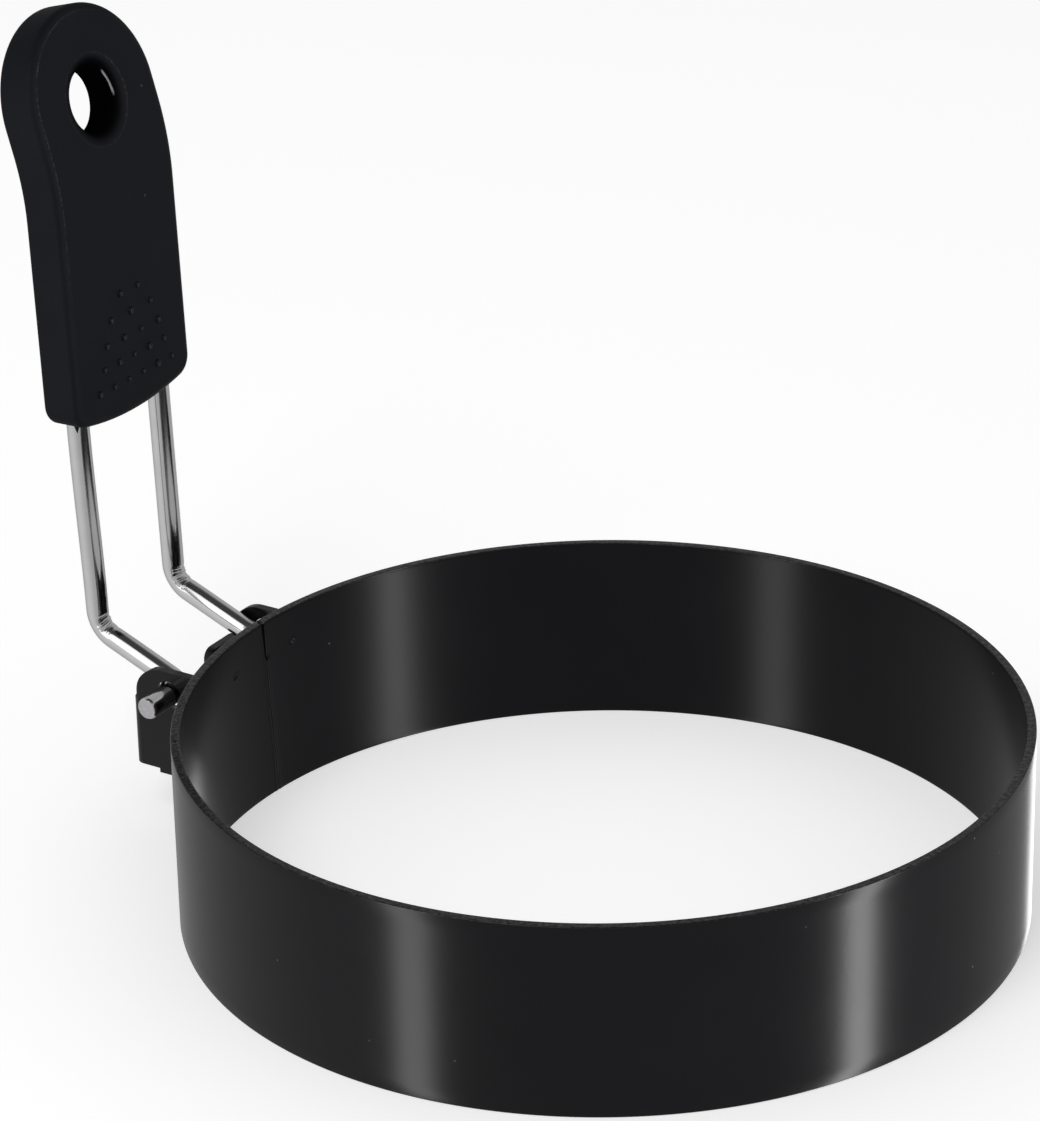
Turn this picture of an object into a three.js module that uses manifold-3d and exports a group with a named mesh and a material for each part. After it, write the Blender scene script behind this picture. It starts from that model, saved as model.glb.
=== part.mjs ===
// Egg ring with a folding handle, in millimetres, +Z up, standing on its lower edge.
//
// A steel band holds the food. A bent sheet bracket is welded to its outside, and one bent wire
// swings in the bracket's two ears. A rubber grip is moulded over the loop of that wire.
// The handle stands on the -X side and swings about a line along Y.
//
// Distances called "out" are measured from the ring's own axis towards the handle, "up" from the
// surface the ring stands on, and "aside" from the handle's middle plane. A "reach" is measured
// outwards from the band's outer face.

import * as THREE from "three";
import { mergeVertices } from "three/addons/utils/BufferGeometryUtils.js";
import Module from "manifold-3d";

const wasm = await Module();
wasm.setup();

// Driving dimensions
const ringBore = 88.9; // inside diameter, the 3.5 inch size
const ringWall = 1.0;
const ringHeight = 21.3;

const sheet = 1.0; // bracket sheet thickness
const bracketWidth = 19.6; // over the outer faces of the two ears
const bendInside = 0.2; // inside radius of the bracket's bends
const earReach = 8.55; // free edges of the ears, above the lips
const earFoot = 6.6;
const earHeight = 12.1;
const earRound = 3.5; // top outer corner of an ear
const webDrop = 0.5; // next to the ring the bracket reaches a little lower
const webReach = 5.8; // how far out that lower edge runs
const lipReach = 9.25; // outer face of the lips
const lipDrop = 1.5; // top of the lips, below the hinge line
const lipLength = 5.9; // from the outer face of the ear to the free end
const lipRound = 1.2; // free corners of a lip

const hingeReach = 4.05;
const hingeDrop = 2.7; // hinge line below the top of the ears

const wire = 2.5; // wire diameter
const pinProud = 4.1; // end of each pin beyond the ear
const pinInside = 0.5; // inside radius of the bend from leg to pin
const legRun = 12.0; // hinge line to the corner under the stem
const legRise = 22.1; // degrees above level
const kneeBend = 3.4; // middle of the wire, leg into stem
const stemRun = 47.5; // straight part, from that corner up into the grip
const stemLean = 2.1; // degrees outwards from upright
const backBend = 34.0; // the top of the handle bends gently outwards
const backSweep = 14.0; // degrees of that bend

const gripStart = 23.6; // from the corner under the stem, along the wire
const gripLength = 45.4;
const gripSideWall = 1.75; // rubber beside the channel for the wire
const gripFaceWall = 0.85; // rubber in front of the channel and behind it
const gripEdge = 1.2; // rounding of the long edges
const gripFootRadius = 40; // the lower end is a shallow arc
const gripCorner = 2.4;

const holeDiameter = 6.8; // hanging hole, in the middle of the grip's round upper end
const holeLip = 1.6; // rounding of its two rims
const holeRimSlant = 20; // degrees at which the rounding meets the face

// Fits and allowances
const weldGap = 0.3; // bracket to ring
const pinPlay = 0.35; // pin to hole, all round
const legGap = 0.45; // leg to ear
const mouldGap = 0.3; // wire to rubber
const overrun = 2.0; // how far a cutter runs past what it cuts

// Fineness
const ringFacets = 120;
const wireSides = 14;
const bendFacets = 5;
const kneeFacets = 8;
const webFacets = 10;
const curlFacets = 6;
const loopFacets = 10; // a quarter of the wire loop
const holeFacets = 36;
const edgeFacets = 4;
const sideFacets = 14;
const crownFacets = 14;
const footFacets = 6;

// Values worked out from them
const ringInner = ringBore / 2;
const ringOuter = ringInner + ringWall;
const bendRadius = bendInside + sheet / 2; // at the middle of the sheet
const earMiddle = (bracketWidth - sheet) / 2;
const earOut = ringOuter + earReach;
const earTop = earFoot + earHeight;
const webMiddle = ringOuter + weldGap + sheet / 2;
const webFoot = earFoot - webDrop;
const hingeOut = ringOuter + hingeReach;
const hingeUp = earTop - hingeDrop;
const hingeHole = wire + 2 * pinPlay;
const lipOut = ringOuter + lipReach;
const lipTop = hingeUp - lipDrop;
const pinEnd = bracketWidth / 2 + pinProud;
const pinBend = pinInside + wire / 2; // at the middle of the wire
const legAside = earMiddle - sheet / 2 - legGap - wire / 2;
const channel = wire + 2 * mouldGap;
const gripWidth = 2 * legAside + channel + 2 * gripSideWall;
const gripThickness = channel + 2 * gripFaceWall;
const radians = THREE.MathUtils.degToRad;

// Materials
const coatedSteel = { color: 0x18191b, roughness: 0.38, metalness: 0.3 };
const brightWire = { color: 0xcfd0d2, roughness: 0.12, metalness: 1.0 };
const softGrip = { color: 0x1d1f22, roughness: 0.75, metalness: 0.0 };

// Turns a closed three.js geometry into a solid that can be cut and joined.
function solid(geometry) {
  const bare = geometry.clone();
  bare.deleteAttribute("normal");
  bare.deleteAttribute("uv");
  const merged = mergeVertices(bare);
  const mesh = new wasm.Mesh({
    numProp: 3,
    vertProperties: merged.attributes.position.array,
    triVerts: Uint32Array.from(merged.index.array),
  });
  return new wasm.Manifold(mesh);
}

// Turns a solid back into a three.js geometry.
function surface(body) {
  const mesh = body.getMesh();
  const geometry = new THREE.BufferGeometry();
  geometry.setAttribute("position", new THREE.BufferAttribute(mesh.vertProperties, 3));
  geometry.setIndex(new THREE.BufferAttribute(mesh.triVerts, 1));
  geometry.computeVertexNormals();
  return geometry;
}

function piece(name, geometry, finish) {
  const mesh = new THREE.Mesh(geometry, new THREE.MeshStandardMaterial(finish));
  mesh.name = name;
  return mesh;
}

// A flat outline drawn in (out, up) and pushed across the handle's plane, from -half to +half.
function acrossHandle(outline, half) {
  const geometry = new THREE.ExtrudeGeometry(outline, { depth: 2 * half, bevelEnabled: false });
  geometry.translate(0, 0, -half);
  // out points to -X, up to +Z, and the push runs along Y
  geometry.applyMatrix4(new THREE.Matrix4().makeBasis(
    new THREE.Vector3(-1, 0, 0),
    new THREE.Vector3(0, 0, 1),
    new THREE.Vector3(0, 1, 0),
  ));
  return geometry;
}

// Ring: a plain rolled band with square edges
function ringBand() {
  const section = [
    new THREE.Vector2(ringInner, 0),
    new THREE.Vector2(ringOuter, 0),
    new THREE.Vector2(ringOuter, ringHeight),
    new THREE.Vector2(ringInner, ringHeight),
    new THREE.Vector2(ringInner, 0),
  ];
  const geometry = new THREE.LatheGeometry(section, ringFacets);
  geometry.rotateX(Math.PI / 2);
  return geometry;
}

// Points along an arc, ends included
function arcPoints(x, y, radius, from, to, count) {
  return new THREE.EllipseCurve(x, y, radius, radius, from, to, to < from).getPoints(count);
}

// Bracket, seen from above: half of the sheet's middle line, from a lip's free end to the web's
// middle, as points (out, aside)
function bracketHalfLine() {
  const lipMiddle = lipOut - sheet / 2;
  const inset = earMiddle - bendRadius;
  const rootOut = Math.sqrt((webMiddle + bendRadius) ** 2 - inset ** 2);
  const webAngle = Math.atan2(inset, rootOut);
  return [
    new THREE.Vector2(lipMiddle, bracketWidth / 2 - lipLength),
    ...arcPoints(lipMiddle - bendRadius, inset, bendRadius, 0, Math.PI / 2, bendFacets),
    ...arcPoints(rootOut, inset, bendRadius, Math.PI / 2, Math.PI + webAngle, bendFacets),
    ...arcPoints(0, 0, webMiddle, webAngle, 0, webFacets).slice(1),
  ];
}

// The middle line thickened to the sheet, as an outline in the X-Y plane
function bracketPlan() {
  const half = bracketHalfLine();
  const other = half.slice(0, -1).reverse().map((p) => new THREE.Vector2(p.x, -p.y));
  const line = [...half, ...other];
  const sides = [[], []];
  line.forEach((p, i) => {
    const before = line[Math.max(i - 1, 0)];
    const after = line[Math.min(i + 1, line.length - 1)];
    const one = p.clone().sub(before).normalize();
    const two = after.clone().sub(p).normalize();
    const along = one.clone().add(two).normalize();
    const reach = sheet / 2 / Math.max(along.dot(one), along.dot(two));
    const off = new THREE.Vector2(-along.y, along.x).multiplyScalar(reach);
    sides[0].push(p.clone().add(off));
    sides[1].push(p.clone().sub(off));
  });
  const outline = [...sides[0], ...sides[1].reverse()];
  return new THREE.Shape(outline.map((p) => new THREE.Vector2(-p.x, p.y)));
}

// Bracket, seen from the side: the ears with their round corner, the lower lips and the web's foot
function bracketElevation() {
  const inner = ringInner - overrun;
  const outer = lipOut + overrun;
  const step = ringOuter + webReach;
  const outline = new THREE.Shape();
  outline.moveTo(inner, webFoot);
  outline.lineTo(step, webFoot);
  outline.lineTo(step, earFoot);
  outline.lineTo(outer, earFoot);
  outline.lineTo(outer, lipTop);
  outline.lineTo(earOut, lipTop);
  outline.lineTo(earOut, earTop - earRound);
  outline.absarc(earOut - earRound, earTop - earRound, earRound, 0, Math.PI / 2, false);
  outline.lineTo(inner, earTop);
  outline.closePath();
  return outline;
}

// What is cut off a square corner to round it, at (aside, up), pushed along X through the lips
function lipCornerCutter(sideSign, upSign) {
  const tipAside = sideSign * (bracketWidth / 2 - lipLength);
  const tipUp = upSign > 0 ? lipTop : earFoot;
  const centreAside = tipAside + sideSign * lipRound;
  const centreUp = tipUp - upSign * lipRound;
  const from = new THREE.Vector2(centreAside, tipUp);
  const to = new THREE.Vector2(tipAside, centreUp);
  const outline = [from];
  for (let i = 1; i < bendFacets; i += 1) {
    const turn = (i / bendFacets) * (Math.PI / 2);
    outline.push(new THREE.Vector2(
      centreAside - sideSign * lipRound * Math.sin(turn),
      centreUp + upSign * lipRound * Math.cos(turn),
    ));
  }
  outline.push(to);
  outline.push(new THREE.Vector2(tipAside - sideSign * overrun, centreUp));
  outline.push(new THREE.Vector2(tipAside - sideSign * overrun, tipUp + upSign * overrun));
  outline.push(new THREE.Vector2(centreAside, tipUp + upSign * overrun));
  const depth = sheet + 2 * bendRadius;
  const geometry = new THREE.ExtrudeGeometry(new THREE.Shape(outline), { depth, bevelEnabled: false });
  // aside runs along Y, up along Z, and the push runs along X
  geometry.applyMatrix4(new THREE.Matrix4().makeBasis(
    new THREE.Vector3(0, 1, 0),
    new THREE.Vector3(0, 0, 1),
    new THREE.Vector3(1, 0, 0),
  ));
  geometry.translate(-lipOut - bendRadius, 0, 0);
  return geometry;
}

// The space between the ears above the lips, where the legs pass
function reliefCutter() {
  const width = bracketWidth - 2 * sheet;
  const height = earTop - lipTop + overrun;
  const depth = sheet + bendRadius + overrun;
  const geometry = new THREE.BoxGeometry(depth, width, height);
  geometry.translate(-lipOut - overrun + depth / 2, 0, lipTop + height / 2);
  return geometry;
}

function hingeBracket() {
  const plan = new THREE.ExtrudeGeometry(bracketPlan(), { depth: earTop - webFoot, bevelEnabled: false });
  plan.translate(0, 0, webFoot);
  const half = bracketWidth / 2 + overrun;
  let body = solid(plan).intersect(solid(acrossHandle(bracketElevation(), half)));
  const drill = new THREE.CylinderGeometry(hingeHole / 2, hingeHole / 2, 2 * half, holeFacets);
  drill.translate(-hingeOut, 0, hingeUp);
  body = body.subtract(solid(drill)).subtract(solid(reliefCutter()));
  for (const sideSign of [1, -1]) {
    for (const upSign of [1, -1]) {
      body = body.subtract(solid(lipCornerCutter(sideSign, upSign)));
    }
  }
  return surface(body);
}

// Everything in the handle is placed on a ribbon that stands along the wire. Seen from the side
// the ribbon is a line of (out, up), and "along" is measured on it from the hinge line.
const kneeTurn = radians(90 - stemLean - legRise);
const kneeSetback = kneeBend * Math.tan(kneeTurn / 2);
const sideLine = handleSideLine();
const sideLength = sideLine.getLength();
const kneeStart = legRun - kneeSetback;
const kneeEnd = kneeStart + kneeBend * kneeTurn;
const curlStart = kneeEnd + stemRun - kneeSetback;
const cornerAlong = kneeEnd - kneeSetback; // where the corner would lie on the stem's own line
const gripFoot = cornerAlong + gripStart;
const gripTop = gripFoot + gripLength;
const holeAlong = gripTop - gripWidth / 2; // middle of the hole, the half circle and the wire loop

function handleSideLine() {
  const rise = radians(legRise);
  const stem = Math.PI / 2 - radians(stemLean);
  const line = new THREE.Path();
  line.moveTo(hingeOut, hingeUp);
  const bendFrom = new THREE.Vector2(Math.cos(rise), Math.sin(rise))
    .multiplyScalar(legRun - kneeSetback)
    .add(line.currentPoint);
  line.lineTo(bendFrom.x, bendFrom.y);
  const knee = new THREE.Vector2(-Math.sin(rise), Math.cos(rise))
    .multiplyScalar(kneeBend)
    .add(bendFrom);
  line.absarc(knee.x, knee.y, kneeBend, rise - Math.PI / 2, stem - Math.PI / 2, false);
  const stemTop = new THREE.Vector2(Math.cos(stem), Math.sin(stem))
    .multiplyScalar(stemRun - kneeSetback)
    .add(line.currentPoint);
  line.lineTo(stemTop.x, stemTop.y);
  const back = new THREE.Vector2(Math.sin(stem), -Math.cos(stem))
    .multiplyScalar(backBend)
    .add(stemTop);
  const start = stem + Math.PI / 2;
  line.absarc(back.x, back.y, backBend, start, start - radians(backSweep), true);
  return line;
}

// A point of the handle: aside from the middle plane, along the wire, and lifted off the ribbon
// towards the ring's middle.
function onHandle(aside, along, lift) {
  const share = THREE.MathUtils.clamp(along / sideLength, 0, 1);
  const p = sideLine.getPoint(share);
  const direction = sideLine.getTangent(share);
  const beyond = along - share * sideLength;
  const out = p.x + direction.x * beyond - direction.y * lift;
  const up = p.y + direction.y * beyond + direction.x * lift;
  return new THREE.Vector3(-out, aside, up);
}

// Evenly spaced values from one end to the other, without the first
function spread(from, to, count) {
  return Array.from({ length: count }, (_, i) => from + ((to - from) * (i + 1)) / count);
}

// Half of the wire's middle line on the ribbon, as (aside, along): pin, leg, stem and half the loop
function wireHalf() {
  const half = [[pinEnd, 0], [legAside + pinBend, 0]];
  for (const turn of spread(0, Math.PI / 2, bendFacets)) {
    half.push([legAside + pinBend - pinBend * Math.sin(turn), pinBend - pinBend * Math.cos(turn)]);
  }
  const climb = [
    kneeStart,
    ...spread(kneeStart, kneeEnd, kneeFacets),
    curlStart,
    ...spread(curlStart, holeAlong, curlFacets),
  ];
  for (const along of climb) half.push([legAside, along]);
  for (const turn of spread(0, Math.PI / 2, loopFacets)) {
    half.push([legAside * Math.cos(turn), holeAlong + legAside * Math.sin(turn)]);
  }
  return half;
}

// A run of straight steps through given points. Its own steps are kept, so that the bends get
// short ones, and each section is set square to the bisector of its two steps.
class WireRun extends THREE.Curve {
  constructor(points) {
    super();
    this.points = points;
  }

  getPoint(share) {
    const place = share * (this.points.length - 1);
    const index = Math.min(Math.floor(place), this.points.length - 2);
    return this.points[index].clone().lerp(this.points[index + 1], place - index);
  }

  getUtoTmapping(share) {
    return share;
  }

  getTangent(share) {
    const last = this.points.length - 1;
    const index = Math.round(share * last);
    const here = this.points[index];
    const one = here.clone().sub(this.points[Math.max(index - 1, 0)]).normalize();
    const two = this.points[Math.min(index + 1, last)].clone().sub(here).normalize();
    return one.add(two).normalize();
  }
}

// The bent wire, or with a larger diameter the channel that it lies in
function wireBody(diameter) {
  const half = wireHalf();
  const other = half.slice(0, -1).reverse().map(([aside, along]) => [-aside, along]);
  const points = [...half, ...other].map(([aside, along]) => onHandle(aside, along, 0));
  const section = new THREE.Shape();
  section.absarc(0, 0, diameter / 2, 0, 2 * Math.PI, false);
  return new THREE.ExtrudeGeometry(section, {
    steps: points.length - 1,
    curveSegments: wireSides / 2, // a full circle gets twice as many
    extrudePath: new WireRun(points),
  });
}

// Half of the grip's outline on the ribbon, from the middle of its foot to the middle of its top:
// the foot's shallow arc, a round corner that it runs into, a straight side and a quarter circle
function gripHalf() {
  const footHalf = gripWidth / 2;
  const cornerAside = footHalf - gripCorner;
  const footAngle = Math.asin(cornerAside / (gripFootRadius - gripCorner));
  const cornerUp = gripFoot + gripFootRadius - (gripFootRadius - gripCorner) * Math.cos(footAngle);
  const half = [[0, gripFoot]];
  for (const turn of spread(0, footAngle, footFacets)) {
    half.push([gripFootRadius * Math.sin(turn), gripFoot + gripFootRadius * (1 - Math.cos(turn))]);
  }
  for (const turn of spread(footAngle, Math.PI / 2, bendFacets)) {
    half.push([cornerAside + gripCorner * Math.sin(turn), cornerUp - gripCorner * Math.cos(turn)]);
  }
  for (const share of spread(0, 1, sideFacets)) {
    half.push([footHalf, cornerUp + (holeAlong - cornerUp) * share]);
  }
  for (const turn of spread(0, Math.PI / 2, crownFacets)) {
    half.push([footHalf * Math.cos(turn), holeAlong + footHalf * Math.sin(turn)]);
  }
  half.at(-1)[0] = 0; // the last one lies in the middle plane
  return half;
}

// The outline drawn in by a distance, square to itself
function drawnIn(half, distance) {
  const last = half.length - 1;
  return half.map(([aside, along], i) => {
    const [beforeAside, beforeAlong] = i === 0 ? [-half[1][0], half[1][1]] : half[i - 1];
    const [afterAside, afterAlong] = i === last ? [-half[last - 1][0], half[last - 1][1]] : half[i + 1];
    const direction = new THREE.Vector2(afterAside - beforeAside, afterAlong - beforeAlong).normalize();
    const newAside = i === 0 || i === last ? 0 : aside - direction.y * distance;
    return [newAside, along + direction.x * distance];
  });
}

// The grip before its hole and channel are cut: a slab with rounded edges that follows the ribbon
function gripSlab() {
  const half = gripHalf();
  const levels = [];
  const flat = gripThickness / 2 - gripEdge;
  for (let i = 0; i <= edgeFacets; i += 1) {
    const turn = (Math.PI / 2) * (i / edgeFacets);
    levels.push([gripEdge * (1 - Math.sin(turn)), -flat - gripEdge * Math.cos(turn)]);
  }
  for (const [inset, lift] of [...levels].reverse()) levels.push([inset, -lift]);
  const positions = [];
  const loop = 2 * half.length - 2;
  for (const [inset, lift] of levels) {
    const line = drawnIn(half, inset);
    const other = line.slice(1, -1).reverse().map(([aside, along]) => [-aside, along]);
    for (const [aside, along] of [...line, ...other]) {
      positions.push(...onHandle(aside, along, lift).toArray());
    }
  }
  const faces = [];
  for (let level = 0; level < levels.length - 1; level += 1) {
    for (let i = 0; i < loop; i += 1) {
      const a = level * loop + i;
      const b = level * loop + ((i + 1) % loop);
      faces.push(a, b, b + loop, a, b + loop, a + loop);
    }
  }
  // front and back, as strips straight across
  const front = (levels.length - 1) * loop;
  for (let i = 0; i < half.length - 1; i += 1) {
    const j = (loop - i) % loop;
    const next = loop - i - 1;
    faces.push(front + i, front + i + 1, front + next, front + i, front + next, front + j);
    faces.push(i, next, i + 1, i, j, next);
  }
  const geometry = new THREE.BufferGeometry();
  geometry.setAttribute("position", new THREE.Float32BufferAttribute(positions, 3));
  const sound = [];
  for (let i = 0; i < faces.length; i += 3) {
    const [a, b, c] = faces.slice(i, i + 3);
    if (a !== b && b !== c && c !== a) sound.push(a, b, c);
  }
  geometry.setIndex(sound);
  return geometry;
}

// What the hanging hole takes away: a round bore whose two rims open out. Each rim's rounding
// runs off the face at a slant.
function holeCutter() {
  const reach = gripThickness / 2;
  const bore = holeDiameter / 2;
  const slant = radians(holeRimSlant);
  const rim = new THREE.Vector2(
    bore + holeLip * (1 - Math.sin(slant)),
    -reach + holeLip * (1 - Math.cos(slant)),
  );
  const past = new THREE.Vector2(Math.cos(slant), -Math.sin(slant)).multiplyScalar(overrun).add(rim);
  const profile = [new THREE.Vector2(0, past.y), past, rim];
  for (const turn of spread(slant, Math.PI / 2, edgeFacets)) {
    profile.push(new THREE.Vector2(
      bore + holeLip * (1 - Math.sin(turn)),
      -reach + holeLip * (1 - Math.cos(turn)),
    ));
  }
  for (const p of [...profile].reverse()) profile.push(new THREE.Vector2(p.x, -p.y));
  const geometry = new THREE.LatheGeometry(profile, holeFacets);
  // the cutter's own axis is Y, and it is turned onto the grip's lift direction
  const centre = onHandle(0, holeAlong, 0);
  const lift = onHandle(0, holeAlong, 1).sub(centre).normalize();
  const aside = new THREE.Vector3(0, 1, 0);
  const across = aside.clone().cross(lift);
  geometry.applyMatrix4(new THREE.Matrix4().makeBasis(aside, lift, across));
  geometry.translate(centre.x, centre.y, centre.z);
  return geometry;
}

function grip() {
  const body = solid(gripSlab())
    .subtract(solid(wireBody(channel)))
    .subtract(solid(holeCutter()));
  return surface(body);
}

// The whole part
const handle = new THREE.Group();
handle.add(piece("handle_wire", wireBody(wire), brightWire));
handle.add(piece("grip", grip(), softGrip));

const part = new THREE.Group();
part.add(piece("ring_band", ringBand(), coatedSteel));
part.add(piece("hinge_bracket", hingeBracket(), coatedSteel));
part.add(handle);

// The origin is under the middle of the whole part's outline.
const box = new THREE.Box3().setFromObject(part);
part.position.x = -(box.min.x + box.max.x) / 2;
part.updateMatrixWorld(true);

export default part;
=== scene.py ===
# %% [markdown]
# # An egg ring with a folding wire handle
#
# The object is four pieces: a coated steel band, a folded bracket welded to it, one bent wire that
# swings in the bracket, and a soft grip moulded over the wire's loop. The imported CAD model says
# where each one is and how it moves. This lesson gives each its finer shape and its finish.
# Lengths are written in millimetres, times MM, because Blender's own unit is the metre.

import math

import bmesh
import bpy
from mathutils import Matrix, Vector


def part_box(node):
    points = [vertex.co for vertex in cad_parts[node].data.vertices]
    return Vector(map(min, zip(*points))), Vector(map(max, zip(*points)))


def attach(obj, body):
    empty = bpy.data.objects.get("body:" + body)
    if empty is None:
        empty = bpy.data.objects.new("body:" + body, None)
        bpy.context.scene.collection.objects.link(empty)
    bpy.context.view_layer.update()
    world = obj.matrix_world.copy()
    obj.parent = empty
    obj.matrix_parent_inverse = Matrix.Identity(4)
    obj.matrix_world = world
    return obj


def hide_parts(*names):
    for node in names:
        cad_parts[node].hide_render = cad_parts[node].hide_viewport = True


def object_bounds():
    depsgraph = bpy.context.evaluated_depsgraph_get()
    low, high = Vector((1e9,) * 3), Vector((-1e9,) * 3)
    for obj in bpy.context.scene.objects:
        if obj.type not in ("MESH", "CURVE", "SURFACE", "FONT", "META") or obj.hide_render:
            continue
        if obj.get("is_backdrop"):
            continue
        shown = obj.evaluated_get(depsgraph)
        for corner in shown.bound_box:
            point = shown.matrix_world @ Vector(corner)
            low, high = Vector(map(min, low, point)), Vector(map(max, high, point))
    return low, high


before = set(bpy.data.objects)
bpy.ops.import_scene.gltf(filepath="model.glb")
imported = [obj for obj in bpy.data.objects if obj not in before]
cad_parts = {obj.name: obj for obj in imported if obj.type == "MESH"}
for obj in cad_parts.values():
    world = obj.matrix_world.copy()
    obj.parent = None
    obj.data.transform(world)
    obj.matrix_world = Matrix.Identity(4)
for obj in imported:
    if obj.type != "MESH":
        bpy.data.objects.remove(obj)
cad_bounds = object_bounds()
scene = bpy.context.scene
MM = 0.001
band_low, band_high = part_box("ring_band")
ring_x = (band_low.x + band_high.x) / 2
print("ring axis at x =", round(ring_x / MM, 3), "mm")

# %% [markdown]
# ## Helpers
#
# Meshes are made from lists of points here, because every piece follows lengths that are known.
# The node helpers build materials and trees in few lines: an input is given by its name, and its
# value is either a number or the output of another node.

# %% Object helpers


def add_object(name, data):
    obj = bpy.data.objects.new(name, data)
    scene.collection.objects.link(obj)
    return obj


def make_object(name, vertices, faces, materials=(), edges=()):
    """A mesh object with smooth shading."""
    mesh = bpy.data.meshes.new(name)
    mesh.from_pydata([tuple(v) for v in vertices], edges, faces)
    mesh.validate()
    for material in materials:
        mesh.materials.append(material)
    mesh.polygons.foreach_set("use_smooth", [True] * len(mesh.polygons))
    return add_object(name, mesh)


def keep_values(obj, **named):
    """Stores a number with each vertex under each name, for a material or a tree to read."""
    for name, values in named.items():
        kept = obj.data.attributes.new(name, "FLOAT", "POINT")
        kept.data.foreach_set("value", values)


def skin(rings, sides, closed=True):
    """Faces between neighbouring rings of points. A closed skin joins the last to the first."""
    faces = []
    for i in range(rings if closed else rings - 1):
        for k in range(sides):
            corners = ((i, k), (i + 1, k), (i + 1, k + 1), (i, k + 1))
            faces.append([ring % rings * sides + side % sides for ring, side in corners])
    return faces


print("CAD nodes", sorted(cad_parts))

# %% Node helpers


def feed(tree, socket, value):
    """Links a node's output to a socket, or sets the socket to a number, a colour or a vector."""
    if isinstance(value, bpy.types.NodeSocket):
        tree.links.new(value, socket)
    elif socket.type == "RGBA":
        socket.default_value = (*value, 1)
    else:
        socket.default_value = value


def set_inputs(tree, made, **values):
    """Feeds the inputs of a node by their names, with _ for each space."""
    for name, value in values.items():
        feed(tree, made.inputs[name.replace("_", " ")], value)


def node(tree, kind, **values):
    """A new node. A name in small letters is a setting of the node, any other is an input."""
    made = tree.nodes.new(kind)
    for name, value in values.items():
        if name[0].islower():
            setattr(made, name, value)
        else:
            set_inputs(tree, made, **{name: value})
    return made


def maths(tree, operation, first, second):
    made = node(tree, "ShaderNodeMath", operation=operation)
    feed(tree, made.inputs[0], first)
    feed(tree, made.inputs[1], second)
    return made.outputs[0]


def ramp(tree, value, low=0.0, high=1.0, start=0.0, end=1.0):
    """start where a value is under low, end where it is over high, and an even rise between."""
    reach = {"From_Min": low, "From_Max": high, "To_Min": start, "To_Max": end}
    return node(tree, "ShaderNodeMapRange", Value=value, **reach).outputs["Result"]


def new_finish(name, roughness, specular, metallic=0.0):
    """A material, its tree and its shader. What is the same all over is set on the shader."""
    material = bpy.data.materials.new(name)
    material.use_nodes = True
    tree = material.node_tree
    shader = tree.nodes["Principled BSDF"]
    set_inputs(tree, shader, Roughness=roughness, Metallic=metallic, Specular_IOR_Level=specular)
    return material, tree, shader


print("helpers", [f.__name__ for f in (feed, set_inputs, node, maths, ramp, new_finish)])

# %% [markdown]
# ## The camera
#
# The photograph was taken from far off with a long lens, a little above the ring and to one side.
# A camera could be set by eye, but the ring's two circles, rim and foot, give it exactly: azimuth,
# elevation and roll turn it, and their perspective says how far off it stands. The sensor's width
# belongs to the picture's long side, here its height.

# %% Camera
camera_azimuth = math.radians(32.44)
camera_elevation = math.radians(24.542)
camera_roll = math.radians(-1.1763)
camera_place = Vector((0.240337, -0.374899, 0.240050))
camera_lens, film_width = 149.58, 36.0  # in millimetres, as lenses are named

camera_data = bpy.data.cameras.new("studio_camera")
camera_data.sensor_width = film_width
camera_data.lens = camera_lens
camera = add_object("studio_camera", camera_data)
camera.matrix_world = (
    Matrix.Translation(camera_place)
    @ Matrix.Rotation(camera_azimuth, 4, "Z")
    @ Matrix.Rotation(math.pi / 2 - camera_elevation, 4, "X")
    @ Matrix.Rotation(camera_roll, 4, "Z")
)
scene.camera = camera
print("camera", [round(v, 4) for v in camera.location])

# %% [markdown]
# ## The studio
#
# Black gloss and polished wire show little but what stands round them, so the room is half of
# their finish. Here it is a white room with a dark ceiling. Walls and screens could be modelled,
# but then they would also light the matte grip. Light Path tells the kinds of ray apart instead:
# the world is white to the camera and through glass, a softer grey for matte surfaces, and in a
# reflection it is grey all round, paler at a screen on the left, and dark overhead. Only the
# surfaces' own rays sample the world, so each kind keeps its own brightness.

# %% World
scene.view_settings.view_transform = "Standard"
ambient_light = 0.55
screen_azimuth = math.radians(-75)  # of the pale screen, from the camera's side
screen_glow = 0.3
screen_focus = 2.0
sweep_glow = 0.45
ceiling_start, ceiling_end = 0.66, 0.92  # heights of the reflected ray
ceiling_share = 0.12
WHITE = (1.0, 1.0, 1.0)


def seen_rays(tree):
    """1 for a ray seen straight or through glass, and 1 for a ray seen in a reflection."""
    ray = node(tree, "ShaderNodeLightPath").outputs
    straight = maths(tree, "MAXIMUM", ray["Is Camera Ray"], ray["Is Transmission Ray"])
    return straight, ray["Is Glossy Ray"]


def mirrored_room(room):
    """How bright the room is in the direction of a reflected ray."""
    way = node(room, "ShaderNodeTexCoord").outputs["Generated"]
    turn = camera_azimuth + screen_azimuth
    across = node(room, "ShaderNodeVectorMath", operation="DOT_PRODUCT")
    feed(room, across.inputs[0], way)
    feed(room, across.inputs[1], (math.sin(turn), -math.cos(turn), 0))
    facing = maths(room, "MAXIMUM", across.outputs["Value"], 0.0)
    screen = maths(room, "MULTIPLY", maths(room, "POWER", facing, screen_focus), screen_glow)
    glow = maths(room, "ADD", screen, sweep_glow)
    height = node(room, "ShaderNodeSeparateXYZ", Vector=way).outputs["Z"]
    under_ceiling = ramp(room, height, ceiling_start, ceiling_end, 1.0, ceiling_share)
    return maths(room, "MULTIPLY", glow, under_ceiling)


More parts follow.
